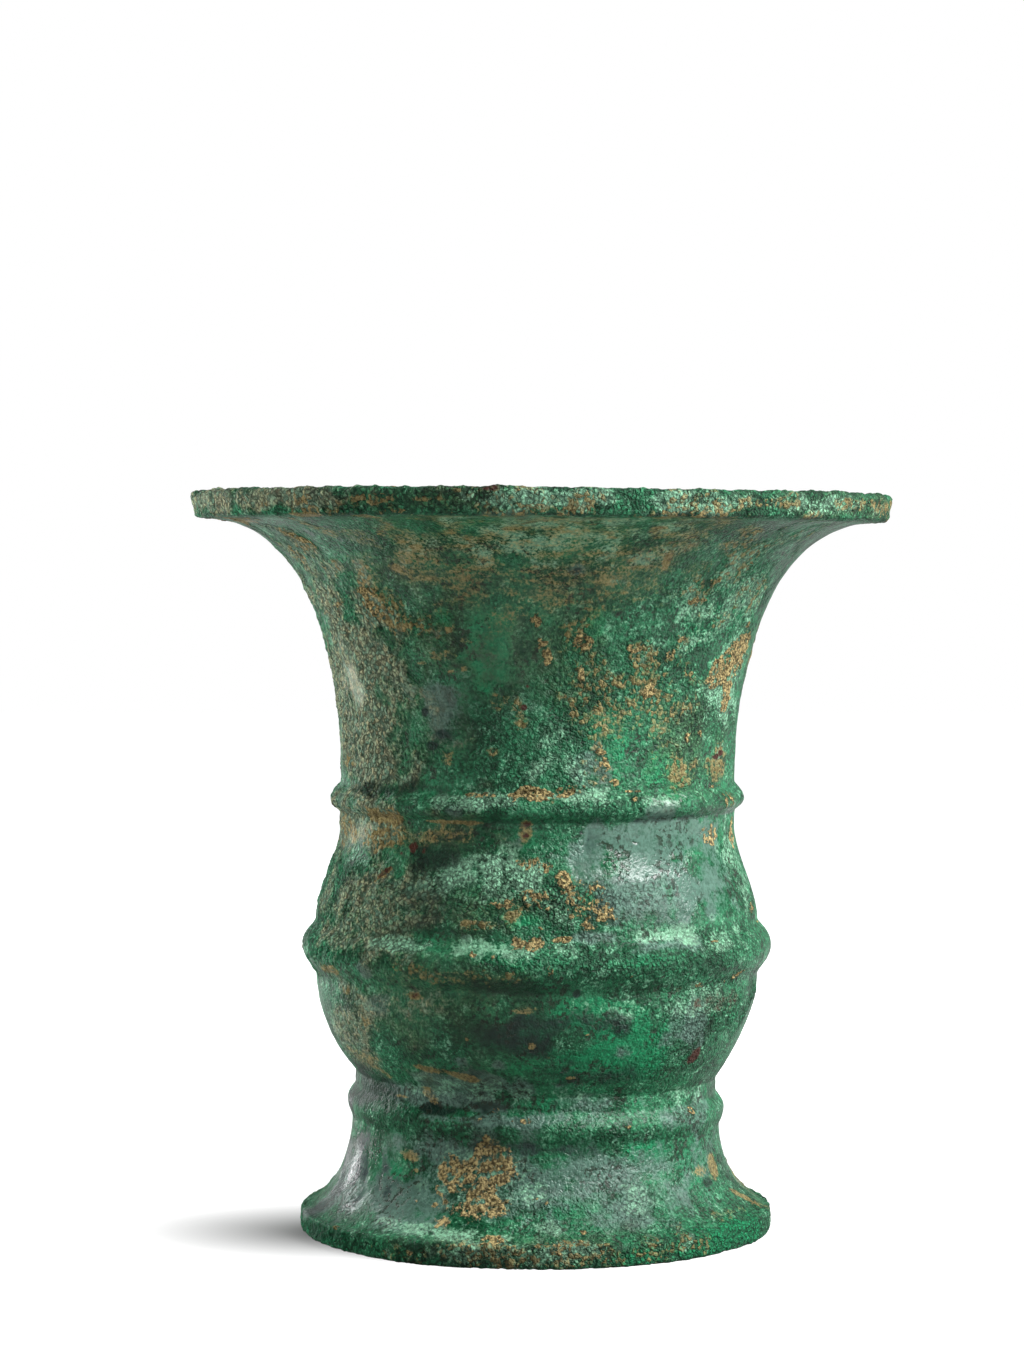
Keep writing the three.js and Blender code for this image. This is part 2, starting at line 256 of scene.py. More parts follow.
def belly_outline():
    """Outer face from the lower seam to the upper seam, then spigot, inner wall, floor and underside."""
    inside = NECK_RADIUS - WALL
    spigot = inside + (WALL - CLEARANCE) / 2
    waist_inside = WAIST_RADIUS - WALL
    socket = FOOT_NECK_RADIUS - WALL + (WALL + CLEARANCE) / 2
    girth_inside = BELLY_RADIUS - WALL
    outer = np.vstack([
        ridge((FOOT_NECK_RADIUS, LOWER_SEAM), LOWER_CREST, (WAIST_RADIUS, LOWER_RIDGE_TOP)),
        bowl((WAIST_RADIUS, BELLY_BOTTOM), (BELLY_RADIUS, MIDDLE_RIDGE_BOTTOM)),
        ridge((BELLY_RADIUS, MIDDLE_RIDGE_BOTTOM), MIDDLE_CREST, (BELLY_RADIUS, MIDDLE_RIDGE_TOP)),
        shoulder((BELLY_RADIUS, MIDDLE_RIDGE_TOP), (NECK_RADIUS, BELLY_TOP)),
        line((NECK_RADIUS, UPPER_SEAM)),
    ])
    lap_top = UPPER_SEAM + LAP
    wall_foot = (waist_inside, FLOOR_TOP + FLOOR_FILLET)
    inner = np.vstack([
        line((NECK_RADIUS, UPPER_SEAM), (spigot, UPPER_SEAM), (spigot, lap_top), (inside, lap_top)),
        shoulder((girth_inside, MIDDLE_RIDGE_TOP), (inside, BELLY_TOP))[::-1],
        bowl(wall_foot, (girth_inside, MIDDLE_RIDGE_BOTTOM))[::-1],
        rounded(wall_foot, (waist_inside, FLOOR_TOP), (waist_inside - FLOOR_FILLET, FLOOR_TOP)),
        line((0, FLOOR_TOP)),
    ])
    under_floor = line((0, FLOOR_BOTTOM), (socket, FLOOR_BOTTOM))
    under_lap = line((socket, LOWER_SEAM), (FOOT_NECK_RADIUS, LOWER_SEAM))
    return outer, inner, np.vstack([under_floor, under_lap])


def foot_outline():
    """Outer face from the resting edge to the lower seam, then the spigot and the hollow's wall."""
    inside = FOOT_NECK_RADIUS - WALL
    spigot = inside + (WALL - CLEARANCE) / 2
    lap_top = LOWER_SEAM + LAP
    edge_in = FOOT_RADIUS - EDGE_ROUND
    outer = np.vstack([
        rounded((edge_in, 0), (FOOT_RADIUS, 0), (FOOT_RADIUS, EDGE_ROUND)),
        rounded((FOOT_RADIUS, FOOT_EDGE - EDGE_ROUND), (FOOT_RADIUS, FOOT_EDGE), (edge_in, FOOT_EDGE)),
        splay((edge_in, FOOT_EDGE), (FOOT_NECK_RADIUS, LOWER_SEAM)),
    ])
    inner = np.vstack([
        line((FOOT_NECK_RADIUS, LOWER_SEAM), (spigot, LOWER_SEAM), (spigot, lap_top), (inside, lap_top)),
        splay((FOOT_RADIUS - FOOT_EDGE_THICKNESS, 0), (inside, LOWER_SEAM))[::-1],
        line((edge_in, 0)),
    ])
    return outer, inner


# Where each kind of corrosion lies on the front, and a few rows of painted shade and light, noted at them:
# degrees round the axis, height, half width and half height in mm, how strongly it covers in percent, and
# its turn in degrees where it isn't level

SOIL = [
    # lip and neck
    (-56, 224, 5, 1.2, 90, -30), (27, 224, 2, 1.5, 80), (-45, 208.5, 7.5, 1.5, 70),
    (-45, 203.5, 3, 1.5, 80, -30), (-59, 204.5, 6.5, 1, 70, 10), (-29, 207, 2, 3.5, 80, -20),
    (-26, 210, 2, 1, 70), (-11, 204, 1.5, 0.9, 70), (-1, 200, 2, 3, 100, 10), (1, 191, 1.5, 4, 90, 20),
    (11, 193.5, 3, 2, 80), (11, 183.5, 1, 3, 80), (68, 189.5, 7, 7, 130), (58, 184, 8, 6, 100),
    (64, 178, 5, 7, 110), (72, 194.5, 3.5, 2.5, 80), (53, 192.5, 2.5, 1.5, 70), (32, 178, 5, 3, 85),
    (24, 191.5, 2.5, 1.5, 70), (38, 194.5, 2.5, 1.5, 70), (36, 190, 2.5, 2.5, 70), (40, 206, 6, 2.5, 60),
    (43, 212.5, 3.5, 1.5, 70), (30, 211, 2, 1, 60), (52, 164, 2, 5, 85, 35), (46, 162.5, 2, 2.5, 80),
    (18, 157, 1.5, 3.5, 70, 25), (22, 149.5, 1.5, 0.9, 80),
    # upper ridge
    (2, 145, 7.5, 3, 180), (6, 147.5, 1.5, 0.9, 90), (-18, 145.5, 7.5, 0.9, 70),
    (27, 146.5, 3.5, 0.6, 70), (27, 143.5, 3, 0.9, 60), (66, 143, 4, 3, 60), (61, 146.5, 11, 0.6, 70),
    # belly and waist
    (-1, 125.5, 4, 2.5, 80), (3, 123, 3.5, 2.5, 80), (6, 119.5, 3.5, 4, 85), (8, 115, 4, 3, 85),
    (12, 112.5, 5, 4, 70), (15, 109, 5, 3, 75), (14, 116.5, 5, 3.5, 55), (1, 114, 5, 3, 70),
    (-6, 112, 7, 2, 70), (14, 110.5, 4.5, 1.5, 65), (13, 105.5, 3, 1, 80), (19, 108, 1.5, 1, 80),
    (0, 124.5, 2, 2, 80), (1, 105, 2, 1, 70), (58, 131.5, 4.5, 2.5, 80), (76, 131, 3, 4, 90),
    (75, 106.5, 3, 2, 80), (80, 101, 3.5, 0.9, 80), (-15, 119.5, 1.5, 4, 50), (-1, 101, 5.5, 3, 140),
    (5, 101.5, 4, 1, 90), (-15, 97, 1, 0.9, 100), (-14, 94, 1.5, 0.6, 90), (-10, 96.5, 1.5, 1.5, 70),
    (48, 98.5, 2.5, 0.6, 70), (59, 87, 7.5, 1, 80, 15), (46, 85.5, 3, 0.7, 60), (3, 92, 2, 2.5, 60),
    (23, 89.5, 3, 2, 50), (13, 71.5, 1, 0.6, 100), (23, 46.5, 1, 0.6, 70),
    # lower ridge and foot
    (55, 44.5, 1.5, 0.9, 90), (28, 41.5, 2, 0.6, 80), (-7, 43.5, 0.6, 0.6, 100), (-3, 43.5, 1.5, 0.6, 80),
    (-17, 43.5, 1.5, 0.6, 70), (-12, 46, 1, 1, 70), (-23, 25, 7, 5, 100), (-11, 28, 6, 7, 100, 10),
    (-11, 34, 2.5, 2, 80), (-17, 17, 11, 5.5, 100, 10), (-11, 18.5, 1.5, 1, 90), (-29, 16.5, 1.5, 1, 90),
    (-35, 17, 1, 0.6, 80), (-28, 21, 2, 1.5, 80), (-11, 9, 3.5, 1.5, 100), (3, 19, 3.5, 1.5, 60),
    (12, 10.5, 2, 1, 70), (6, 7, 14, 2, 55), (15, 4, 7, 2, 55), (-9, 4.5, 4, 2, 50), (-56, 7, 3, 0.9, 60),
    (-42, 4, 2, 1.5, 60), (-30, 3.5, 1.5, 0.9, 60), (-15, 6, 2.5, 1.5, 50), (32, 8.5, 7, 1, 45),
]
STAIN = [
    # lip and neck
    (2, 224, 80, 13, 42), (6, 213, 70, 13, 36), (-40, 232, 7, 0.6, 90), (-22, 233, 5.5, 0.7, 80),
    (-26, 222.5, 2, 0.6, 80), (-17, 226.5, 2.5, 0.6, 70), (-15, 222.5, 2, 0.6, 70),
    (-6, 228, 2.5, 0.9, 70), (9, 229.5, 3, 0.6, 80), (3, 232, 2.5, 0.6, 70), (20, 231.5, 4, 0.5, 70),
    (21, 228.5, 3, 0.6, 70), (14, 225.5, 2.5, 0.6, 70), (23, 225.5, 3.5, 0.6, 70), (13, 221, 20, 2.5, 42),
    (14, 212, 3, 3, 50), (28, 218.5, 1.5, 3.5, 80), (-24, 213.5, 19, 7, 46), (-34, 216, 3.5, 2, 60),
    (-70, 230.5, 17, 0.8, 70), (-29, 231.5, 4.5, 0.5, 70), (-26, 236.5, 8, 1.5, 70),
    (-18, 236.5, 5.5, 1, 60), (38, 236.5, 12, 2, 60), (62, 236.5, 16, 2, 50), (78, 236, 14, 2.5, 60),
    (-71, 153.5, 4.5, 1.5, 60), (-23, 197, 1.5, 1, 60), (-20, 194, 3.5, 1.5, 50), (-27, 189, 5, 1.5, 50),
    (-33, 186.5, 3, 0.9, 70), (-24, 184, 2, 0.9, 60), (-20, 185, 1.5, 1, 50), (-26, 155.5, 3, 3, 60),
    (-10, 174.5, 2.5, 2.5, 40), (-5, 171.5, 2.5, 5, 45), (-13, 159.5, 3.5, 2, 35), (45, 153, 9, 4.5, 60),
    (64, 153, 10, 6.5, 60), (-37, 206, 9, 9.5, 45), (29, 175, 20, 16, 42),
    # upper ridge
    (-48, 137.5, 8, 2, 95), (-29, 137, 14, 0.6, 90),
    # belly and waist
    (-46, 131, 6.5, 4.5, 60), (-64, 130.5, 12, 5.5, 50), (-32, 132.5, 16, 3.5, 50),
    (-45, 120.5, 3.5, 0.9, 80, 35), (-3, 135, 2, 4, 60), (-6, 109, 4, 2, 70, 20), (-13, 106, 8, 1.5, 50),
    (-61, 88.5, 9, 1.5, 60), (-32, 83, 4, 1.5, 80), (-57, 82, 3, 2, 50), (-60, 60.5, 11, 3, 50),
    (-49, 73, 3, 1.5, 60), (-32, 59, 5.5, 1, 80, -10), (-24, 58, 5, 1, 80, -15),
    (-52, 56, 6, 1.5, 70, -25), (-45, 47.5, 3.5, 0.6, 80), (-35, 49.5, 3.5, 1.5, 50, -30),
    (-4, 80, 6.5, 1, 50), (-18, 70, 0.9, 0.9, 80), (-1, 68, 1.2, 1, 70), (4, 64.5, 1.5, 1, 50),
    (10, 57.5, 1.5, 0.5, 60), (-23, 90.5, 21, 2.5, 35),
    # lower ridge and foot
    (68, 23.5, 3.5, 3.5, 80), (77, 12.5, 13, 1.5, 80, -30), (58, 24, 4, 1.5, 50), (-41, 29.5, 4.5, 2, 70),
    (-38, 25.5, 2, 0.9, 60), (-11, 34.5, 3.5, 2.5, 60), (0, 4.5, 50, 4, 30), (56, 10.5, 15, 1.5, 40),
]
GREY = [
    (-62, 177, 28, 41.5, 85), (-64, 130.5, 22, 8, 80), (-64, 237, 62, 4, 85), (4, 225, 90, 8, 35),
    (-58, 71, 20, 17.5, 60), (-35, 80, 18, 6.5, 40), (-49, 110, 30, 16.5, 60),
]
BLUE = [
    # lip and neck
    (-28, 173.5, 6, 10, 80), (8, 216, 3, 2.5, 80), (14, 155, 7, 5.5, 50), (-52, 226, 2.5, 3, 80, -50),
    (-44, 224.5, 2.5, 0.9, 60),
    # upper ridge
    (-23, 140.5, 2.5, 1.5, 80),
    # belly and waist
    (31, 132, 32, 7, 75), (10, 129.5, 10, 6, 70), (33, 116, 24, 10, 80), (56, 117, 18, 9.5, 50),
    # the row at 33° and 99 mm is a painted highlight on the middle ridge, greyed white
    (-9, 98.5, 20, 3.5, 30), (16, 102, 9, 2, 60), (33, 99, 13, 3, 80), (-46, 89.5, 4.5, 3, 90, -30),
    (-44, 79.5, 6, 4.5, 70), (-22, 63, 4, 3, 80), (-10, 62, 3, 2.5, 80), (-23, 67, 3, 2.5, 70),
    (44, 71, 9, 7.5, 75), (23, 65.5, 3.5, 2.5, 60), (-18, 54.5, 21, 3.5, 85), (-34, 48.5, 26, 4.5, 85),
    (-5, 54, 13, 3.5, 80), (20, 48.5, 14, 4.5, 60),
    # lower ridge and foot
    (54, 42.5, 15, 5, 50), (-17, 43, 27, 2, 80), (7, 44, 18, 2, 50), (-67, 17.5, 19, 9, 90),
    (-42, 15.5, 24, 6.5, 90), (-26, 30.5, 13, 4.5, 80), (1, 24, 60, 16, 60), (1, 25.5, 14, 8.5, 80),
    (18, 27.5, 11, 6, 80), (31, 20.5, 12, 5.5, 60), (23, 12.5, 21, 2, 60), (-37, 9.5, 23, 2, 70),
]
FILM = [
    (-3, 220, 49, 10.5, 60), (-10, 193, 11, 12, 70), (-64, 178.5, 6, 9.5, 80), (27, 162.5, 12, 13, 50),
    (-27, 173.5, 9, 12.5, 60), (40, 143.5, 7, 1.4, 100), (-14, 99, 15, 3.5, 70), (33, 101, 13, 3, 50),
    (1, 44.5, 62, 2.5, 40), (34, 130.5, 39, 8, 100), (30, 123, 26, 5, 100), (54, 116, 19, 10.5, 90),
    (-6, 132, 16, 4.5, 70), (14, 73, 34, 14.5, 40), (6, 82, 20, 4.5, 50), (-37, 75, 20, 13.5, 40),
    (1, 52.5, 62, 4.5, 35), (-60, 23.5, 33, 14.5, 100), (-33, 14, 27, 5.5, 90), (-20, 34, 21, 4, 60),
    (7, 30, 20, 11, 60), (36, 26.5, 24, 9, 40),
]
OLIVE = [
    (-24, 214, 32, 14, 70), (14, 218.5, 37, 8.5, 60), (-25, 191, 15, 9.5, 50), (-48, 174.5, 24, 34.5, 50),
    (-42, 130.5, 26, 9.5, 70), (-17, 115, 24, 9, 40), (-30, 82, 30, 19.5, 50), (-9, 67, 17, 10, 20),
    (-14, 110, 12, 6, 60), (6, 194, 20, 18.5, 40), (49, 162, 23, 14.5, 40), (-4, 6.5, 39, 4, 50),
    (60, 236.5, 60, 4, 60), (-15, 236.5, 30, 4, 60),
]
EMERALD = [
    (54, 205, 18, 15, 100), (40, 202, 14, 13, 70), (60, 184, 16, 14, 70), (-14, 194, 7.5, 11, 90),
    (-24, 201.5, 3.5, 3.5, 70), (15, 198.5, 4, 5, 80), (36, 153, 8, 7, 80), (24, 162.5, 14, 12.5, 60),
    (-4, 107.5, 6.5, 2.5, 90), (-6, 97.5, 16, 4.5, 75), (30, 94.5, 15, 3.5, 50), (16, 78, 16, 5.5, 100),
    (17, 66.5, 27, 10, 85), (-4, 62, 13, 5, 60), (3, 49, 5.5, 3, 80), (27, 48, 7.5, 2.5, 80),
    (-45, 24, 5.5, 4, 90), (35, 33, 14, 4, 80), (7, 16.5, 11, 4, 80), (24, 3, 9, 3, 90),
    (52, 4, 22, 5, 100), (54, 26, 11, 9, 60),
]
PALE = [
    # lip and neck
    (-1, 236.5, 26, 3, 70), (16, 236.5, 31, 3, 65), (45, 236.5, 50, 3, 55), (4, 226, 34, 9, 60),
    # the rows at 54° and 62° are partly pale crust, and partly painted light standing in for fill light
    # under the flare on the right
    (54, 206, 18, 16, 60), (38, 202, 14, 13, 50), (62, 182, 16, 18, 60), (3, 158, 7, 9.5, 60),
    # upper ridge: partly pale crust, partly painted light on the ridge's upward face
    (-18, 144, 22, 2.2, 60), (5, 145, 13, 1.8, 90), (18, 144, 24, 2.2, 35),
    # belly and waist
    # the row at 33° and 101.5 mm is a painted highlight on the middle ridge's top
    (71, 121, 8, 12, 50), (-32, 99, 12, 2, 60), (-8, 98.5, 20, 3.5, 60), (33, 101.5, 13, 3, 65),
    (-17, 120.5, 13, 7.5, 75), (4, 113, 8, 6, 40), (-1, 121, 4.5, 5, 65), (52, 99, 16, 4.5, 45),
    (18, 80, 14, 5, 35), (-28, 99.5, 7.5, 2.5, 60), (51, 79.5, 19, 5.5, 50), (49, 49.5, 11, 3.5, 40),
    # this row is painted light, lifting the shade under the belly at the waist's top
    (-20, 52, 34, 4, 40),
    # lower ridge and foot
    (-26, 9.5, 34, 2.2, 55), (-15, 24, 17, 11, 45), (-5, 5, 40, 4, 50), (1, 12, 6.5, 2.5, 50),
    (33, 19.5, 8, 5, 40),
]
DARK = [
    # lip and neck
    (-18, 175.5, 21, 18.5, 30), (-33, 171, 1.5, 1.5, 100), (-31, 160.5, 2, 1.5, 100),
    # the row at 232.3 mm is painted shade along the lip's lower edge
    (-27, 164.5, 3, 1.5, 80), (8, 215.5, 1.5, 1, 90), (0, 232.3, 110, 0.8, 50), (-1, 178, 8, 9, 30),
    (22, 172, 12, 14, 25),
    # upper ridge, with painted shade in the crease under it (the row at 137.6 mm)
    (-31, 147.5, 10, 2, 60), (-48, 146, 26, 2, 60), (0, 137.6, 70, 1.2, 40),
    # belly and waist
    (7, 131, 10, 3, 40), (12, 134, 1, 0.9, 90), (-28, 132.5, 11, 2, 50), (-28, 111.5, 15, 6, 40),
    (-30, 126.5, 12, 5, 70), (-27, 103.5, 10, 2.5, 50), (33, 108, 12, 4.5, 40), (42, 92, 18, 3.5, 40),
    (10, 85, 1.5, 1.5, 80), (-4, 86.5, 20, 2.5, 50), (-14, 73, 14, 6, 50), (-2, 70, 22, 8, 70),
    (16, 57.5, 15, 3, 60), (7, 60.5, 13, 4, 40), (-66, 48, 22, 8, 70), (-14, 47.5, 8, 1, 60),
    # lower ridge and foot
    (-30, 45, 11, 2, 100), (-70, 22, 19, 12, 60), (-48, 20, 12, 9, 30), (-62, 5, 24, 5, 50),
    (60, 20, 3.5, 1.5, 70), (3, 34.5, 22, 2.5, 60),
]
RED = [
    (-4, 173, 1, 1, 100), (-3, 179.5, 0.6, 0.6, 90), (-8, 239.5, 2.5, 0.6, 90), (61, 156, 1.5, 0.6, 100),
    (66, 157, 1.5, 0.6, 100), (-37, 128.5, 2, 1.5, 100), (-41, 126.5, 1.5, 0.9, 90),
    (-33, 127.5, 1, 0.9, 90), (-45, 121, 3.5, 0.9, 60, 35), (-3, 137, 1, 1, 70), (-3, 133, 1, 0.9, 60),
    (57, 79, 11, 4, 45), (49, 62, 3, 2, 80), (38, 84.5, 1.5, 1, 40), (-32, 83, 3, 1, 50),
]
CRUST = [
    (-66, 177.5, 38, 41, 100), (-60, 200, 40, 16, 90), (29, 178, 29, 24.5, 80), (53, 206, 25, 18.5, 85),
    (53, 168, 22, 19, 80), (1, 156.5, 15, 12.5, 80), (-15, 163, 17, 15.5, 60), (-21, 143, 32, 2.5, 90),
    (17, 142.5, 31, 2.5, 80), (-60, 112, 60, 19.5, 95), (-14, 116.5, 15, 11.5, 100),
    (6, 116.5, 18, 9, 100), (-60, 97, 64, 6.5, 90), (28, 93.5, 41, 6, 80), (-4, 96, 16, 4.5, 60),
    (52, 99, 21, 6, 80), (53, 78, 24, 8.5, 100), (46, 65.5, 14, 8.5, 60), (-47, 77, 24, 10, 50),
    (7, 16.5, 13, 5, 50), (32, 18.5, 12, 6, 45), (0, 4, 260, 5, 90),
]

# Each kind's patches, then how it lies on the sides, back and inside, where no patch places it: the size of
# its clouds in mm, the cloud level above which it lies, and how much of it there is
KINDS = {
    "soil": (SOIL, 20, 0.55, 0.8),
    "stain": (STAIN, 24, 0.15, 0.42),
    "grey": (GREY, 60, 0.1, 0.5),
    "blue": (BLUE, 48, 0.05, 0.6),
    "film": (FILM, 50, 0.05, 0.55),
    "olive": (OLIVE, 60, 0.0, 0.6),
    "emerald": (EMERALD, 44, 0.06, 0.55),
    "pale": (PALE, 34, 0.16, 0.45),
    "dark": (DARK, 45, 0.14, 0.4),
    "red": (RED, 7, 1.05, 0.9),
    "crust": (CRUST, 55, -0.12, 0.95),
}

# Odd factors and shifts that scramble a cell's coordinates into one number
AXIS_FACTORS = (0x9E3779B1, 0x85EBCA77, 0xC2B2AE3D)
SEED_FACTOR = 0x27D4EB2F
MIXING = ((15, 0x2C1B3C6D), (12, 0x297A2D39))
LAST_SHIFT = 15
BITS = 10  # for each of the three draws from that number

# Seeds of the kinds' clouds
FIRST_SEED = 20
SEEDS_EACH = 5


def fade(low, high, value):
    """0 at low, 1 at high, and a smooth change between them."""
    share = np.clip((value - low) / (high - low), 0, 1)
    return share * share * (3 - 2 * share)


def hashed(cell, seed):
    """Whole number drawn from a cell's three whole coordinates, the same on every run."""
    x, y, z = (cell[i] * np.uint32(factor) for i, factor in enumerate(AXIS_FACTORS))
    number = x ^ y ^ z
    number += np.uint32(seed * SEED_FACTOR % 2**32)
    for shift, factor in MIXING:
        number ^= number >> np.uint32(shift)
        number *= np.uint32(factor)
    return number ^ number >> np.uint32(LAST_SHIFT)


def draw(number, part):
    """One of three numbers from 0 to 1 that a hashed number holds."""
    most = 2**BITS - 1
    return (number >> np.uint32(BITS * part) & np.uint32(most)).astype(np.float32) / most


def cells(points, size):
    """The cell of each point, as whole coordinates, and its place within that cell."""
    place = points / np.float32(size)
    corner = np.floor(place)
    return corner.astype(np.int32).astype(np.uint32), place - corner


def noise(points, size, seed):
    """Smooth clouds about `size` mm across, about -1 to 1."""
    cell, offset = cells(points, size)
    ease = offset**3 * (offset * (offset * 6 - 15) + 10)
    total = np.zeros_like(points[0])
    for corner in itertools.product((0, 1), repeat=3):
        number = hashed([cell[i] + np.uint32(corner[i]) for i in range(3)], seed)
        weight = np.float32(2)
        slope = np.float32(0)
        for i in range(3):
            weight = weight * (ease[i] if corner[i] else 1 - ease[i])
            slope = slope + (draw(number, i) * 2 - 1) * (offset[i] - corner[i])
        total += weight * slope
    return total


def clouds(points, size, octaves, seed):
    """Clouds with finer clouds in them, each half as large and half as strong as the last."""
    return sum(noise(points, size / 2**i, seed + i) / 2**i for i in range(octaves))


def grains(points, size, seed):
    """Packed grains `size` mm apart: 1 at a grain's middle and 0 in the hollows."""
    cell, offset = cells(points, size)
    nearest = np.full_like(points[0], np.inf)
    for step in itertools.product((-1, 0, 1), repeat=3):
        number = hashed([cell[i] + np.uint32(step[i] % 2**32) for i in range(3)], seed)
        gap = sum((draw(number, i) + step[i] - offset[i]) ** 2 for i in range(3))
        nearest = np.minimum(nearest, gap)
    return np.clip(1 - np.sqrt(nearest) / GRAIN_REACH, 0, 1)


def patches(rows, angle, radius, height, ragged):
    """How much of a kind its placed patches put at each point, with ragged edges; most patches are
    corrosion, a few are painted shade and light.
    """
    mask = np.zeros_like(height)
    for middle, level, half_width, half_tall, percent, *turn in rows:
        up = height - level
        if np.abs(up).min() > PATCH_LIMIT * (half_tall + half_width * bool(turn)):
            continue
        across = ((angle - math.radians(middle) + math.pi) % math.tau - math.pi) * radius
        turned = math.radians(turn[0] if turn else 0)
        along = (across * math.cos(turned) + up * math.sin(turned)) / half_width
        aside = (up * math.cos(turned) - across * math.sin(turned)) / half_tall
        reach = np.hypot(along, aside) + ragged
        mask = np.maximum(mask, percent / 100 * fade(*PATCH_EDGE, reach))
    return mask


def weather(points, outside):
    """Corrosion, and the painted shade and light that some patches hold, at points on the castings: a mask
    from 0 to 1 for each kind, and the relief in mm.
    """
    angle = np.arctan2(points[0], -points[1])
    radius = np.hypot(points[0], points[1])
    height = points[2]
    border = np.abs(angle) + FRONT_WANDER * clouds(points, 40, 3, 95)
    front = fade(*FRONT_EDGE, border) * outside
    ragged = clouds(points, 12, 5, 1) * 0.75
    grain = grains(points, 1.5, 11)
    found = {}
    for number, (kind, (rows, size, level, strength)) in enumerate(KINDS.items()):
        placed = patches(rows, angle, radius, height, ragged)
        cloud = clouds(points, size, 3, FIRST_SEED + SEEDS_EACH * number)
        wild = strength * fade(level - 0.1, level + 0.25, cloud + 0.3 * ragged)
        found[kind] = placed * front + wild * (1 - front)
    lip_bottom = HEIGHT - LIP_THICKNESS
    lip = fade(lip_bottom - LIP_BLEND, lip_bottom + LIP_BLEND, height) * outside
    found["crust"] = np.maximum(found["crust"] * (1 - 0.8 * found["film"]), 0.9 * lip)
    lumps = clouds(points, 3.2, 2, 70)
    speckle = clouds(points, 1.6, 2, 75)
    wrinkles = 1 - 2.2 * np.abs(clouds(points, 7, 2, 78))
    found["soil"] = np.clip(found["soil"] * (0.95 + 0.5 * speckle + 0.5 * lumps), 0, 1)
    heaped = fade(0.35, 0.65, found["soil"])
    rough = (0.15 + found["crust"]) * (1 - 0.9 * found["film"])
    found["grain"] = np.clip(0.2 + 0.7 * grain + 0.3 * lumps, 0, 1)
    found["relief"] = (
        # the wall's own waves and dents, which film fills
        0.3 * noise(points, 45, 85)
        + 0.12 * clouds(points, 9, 2, 86) * (1 - 0.6 * found["film"])
        # the crust's thickness and its grains
        + 0.2 * found["crust"]
        + rough * (0.3 * (grain - 0.4) + 0.2 * lumps + 0.12 * speckle + 0.16 * wrinkles)
        # heaped soil
        + heaped * (0.1 + 0.1 * lumps + 0.2 * speckle)
        # the ragged lip, whose lumps are drawn out upward
        + lip * 0.5 * clouds(points * np.float32([[1], [1], [0.4]]), 5, 2, 90)
    )
    return found


def survey(points, outside):
    """The weather of many points, worked out a stretch at a time on several threads."""
    stretches = [slice(i, i + STRETCH) for i in range(0, points.shape[1], STRETCH)]
    with ThreadPoolExecutor() as pool:
        jobs = [pool.submit(weather, points[:, part], outside[part]) for part in stretches]
    found = [job.result() for job in jobs]
    return {kind: np.concatenate([part[kind] for part in found]) for kind in found[0]}


def settle(points):
    """The vessel's own unevenness, as in the CAD: it leans to +X, and its rim and lower ridge dip there."""
    x, y, z = points
    rim = fade(FLARE_BOTTOM, HEIGHT - LIP_THICKNESS, z)
    bowl_middle = (BELLY_BOTTOM + MIDDLE_RIDGE_BOTTOM) / 2
    low_ridge = fade(FOOT_EDGE, LOWER_SEAM, z) * fade(bowl_middle, LOWER_RIDGE_TOP, z)
    leaning = MOUTH_LEAN * (np.maximum(z, 0) / HEIGHT) ** LEAN_BEND
    dip = RIM_DIP / MOUTH_RADIUS * rim + RIDGE_DIP / FOOT_NECK_RADIUS * low_ridge
    return np.stack([x + leaning, y, z - x * dip])


def lengths(rows):
    """Length along an outline from its start to each of its points."""
    return np.append(0, np.cumsum(np.hypot(*np.diff(rows, axis=0).T)))


def resample(outline, spacing):
    """Points about `spacing` apart along an outline, with its corners kept."""
    steps = np.diff(outline, axis=0)
    outline = outline[np.append(True, np.hypot(*steps.T) > SAME_POINT)]
    heading = np.unwrap(np.arctan2(*np.diff(outline, axis=0).T))
    corners = np.flatnonzero(np.abs(np.diff(heading)) > CORNER) + 1
    ends = [0, *corners, len(outline) - 1]
    rows = [outline[:1]]
    for start, stop in zip(ends[:-1], ends[1:]):
        stretch = outline[start : stop + 1]
        length = lengths(stretch)
        count = max(1, round(length[-1] / spacing))
        stops = np.linspace(0, length[-1], count + 1)[1:]
        rows.append(np.column_stack([np.interp(stops, length, stretch[:, i]) for i in range(2)]))
    return np.vstack(rows)


def facing(rows):
    """Direction that the surface faces at each row of an outline, as shares along the radius and upward."""
    ahead = np.gradient(rows, axis=0)
    ahead /= np.hypot(*ahead.T)[:, None]
    return np.column_stack([ahead[:, 1], -ahead[:, 0]])


def ring_count(radius):
    """Vertices in an inner ring: fewer in a small ring, and one on the axis."""
    if radius < AXIS:
        return 1
    halvings = max(0, math.ceil(math.log2(HALVING_RADIUS / radius)))
    return max(SEGMENTS // 2 >> halvings, FEWEST)


def band(low, high):
    """Faces between two rings of vertices, and the place of each face's corners on the flat map.

    A corner is written as its ring, the ring's vertices for each face, and a step along them. Rings of one
    size give squares. A ring that is half as full, or is one vertex on the axis, gives triangles.
    """
    full, less = (low, high) if low.count >= high.count else (high, low)
    if less.count == full.count:
        patterns = [[(full, 1, 0), (full, 1, 1), (less, 1, 1), (less, 1, 0)]]
    elif less.count == 1:
        patterns = [[(full, 1, 0), (full, 1, 1), (less, 0, 0)]]
    else:
        patterns = [
            [(full, 2, 0), (full, 2, 1), (less, 1, 0)],
            [(full, 2, 1), (less, 1, 1), (less, 1, 0)],
            [(full, 2, 1), (full, 2, 2), (less, 1, 1)],
        ]
    steps = less.count if less.count > 1 else full.count
    column = np.arange(steps)
    for corners in patterns if full is low else [corners[::-1] for corners in patterns]:
        faces = [ring.first + (column * each + step) % ring.count for ring, each, step in corners]
        turns = [(column * each + step) / (steps * max(each, 1)) for ring, each, step in corners]
        heights = [np.full(steps, ring.along) for ring, each, step in corners]
        yield np.stack(faces, 1), np.stack([np.stack(turns, 1), np.stack(heights, 1)], 2)


